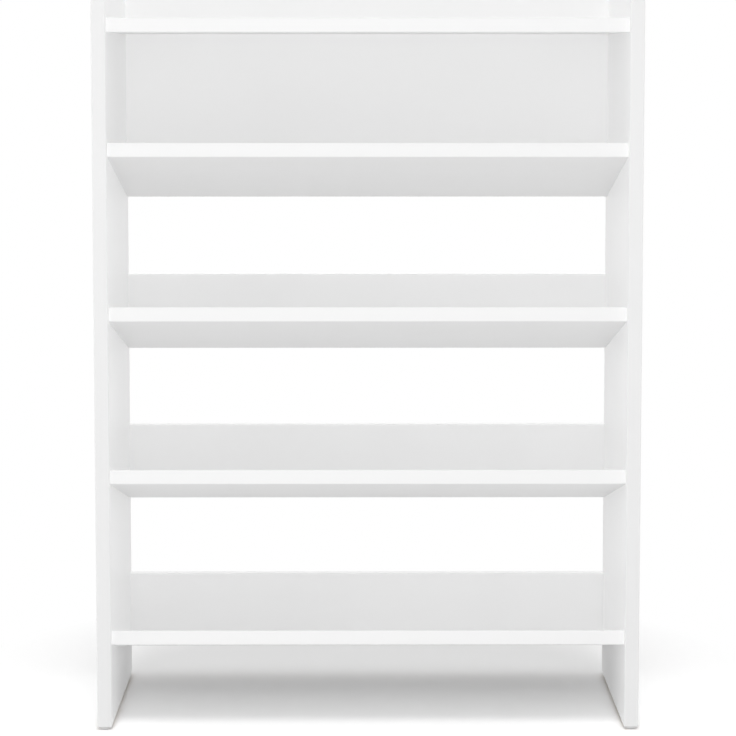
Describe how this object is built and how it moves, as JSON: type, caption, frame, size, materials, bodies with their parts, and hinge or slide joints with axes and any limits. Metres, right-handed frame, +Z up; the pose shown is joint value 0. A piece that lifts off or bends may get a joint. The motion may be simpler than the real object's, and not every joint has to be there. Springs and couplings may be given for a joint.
{
  "type": "shoe rack",
  "caption": "Free-standing shoe rack with a raised top tray, a closed-back top bay and four shelves that slope down to the back, the lower three to upstanding rear rails.",
  "frame": {"origin": "on the floor plane, under the middle of the rack's width and depth", "axes": "+X to the right along the front, +Y from the open front to the back, +Z up"},
  "size_m": [0.6, 0.3, 0.815],
  "materials": {
    "board": "satin white melamine-faced chipboard",
    "panel_edging": "satin white edging strip",
    "shelf_edging": "satin bright white edging strip",
    "zinc": "die-cast zinc",
    "steel": "zinc-plated steel",
    "beech": "plain beech",
    "glide_plastic": "moulded polyethylene"
  },
  "bodies": {
    "root": {"left_side_panel": "board", "right_side_panel": "board", "top_board": "board", "cubby_shelf": "board", "upper_shelf": "board", "middle_shelf": "board", "bottom_shelf": "board", "back_board": "board", "upper_rail": "board", "middle_rail": "board", "bottom_rail": "board", "left_panel_edging": "panel_edging", "right_panel_edging": "panel_edging", "top_board_edging": "shelf_edging", "cubby_shelf_edging": "shelf_edging", "upper_shelf_edging": "shelf_edging", "middle_shelf_edging": "shelf_edging", "bottom_shelf_edging": "shelf_edging", "back_board_edging": "panel_edging", "rail_edging": "panel_edging", "shelf_cam_locks": "zinc", "rear_cam_locks": "zinc", "cam_bolts": "steel", "wooden_dowels": "beech", "rear_screws": "steel", "foot_glides": "glide_plastic", "glide_nails": "steel"}
  },
  "joints": []
}
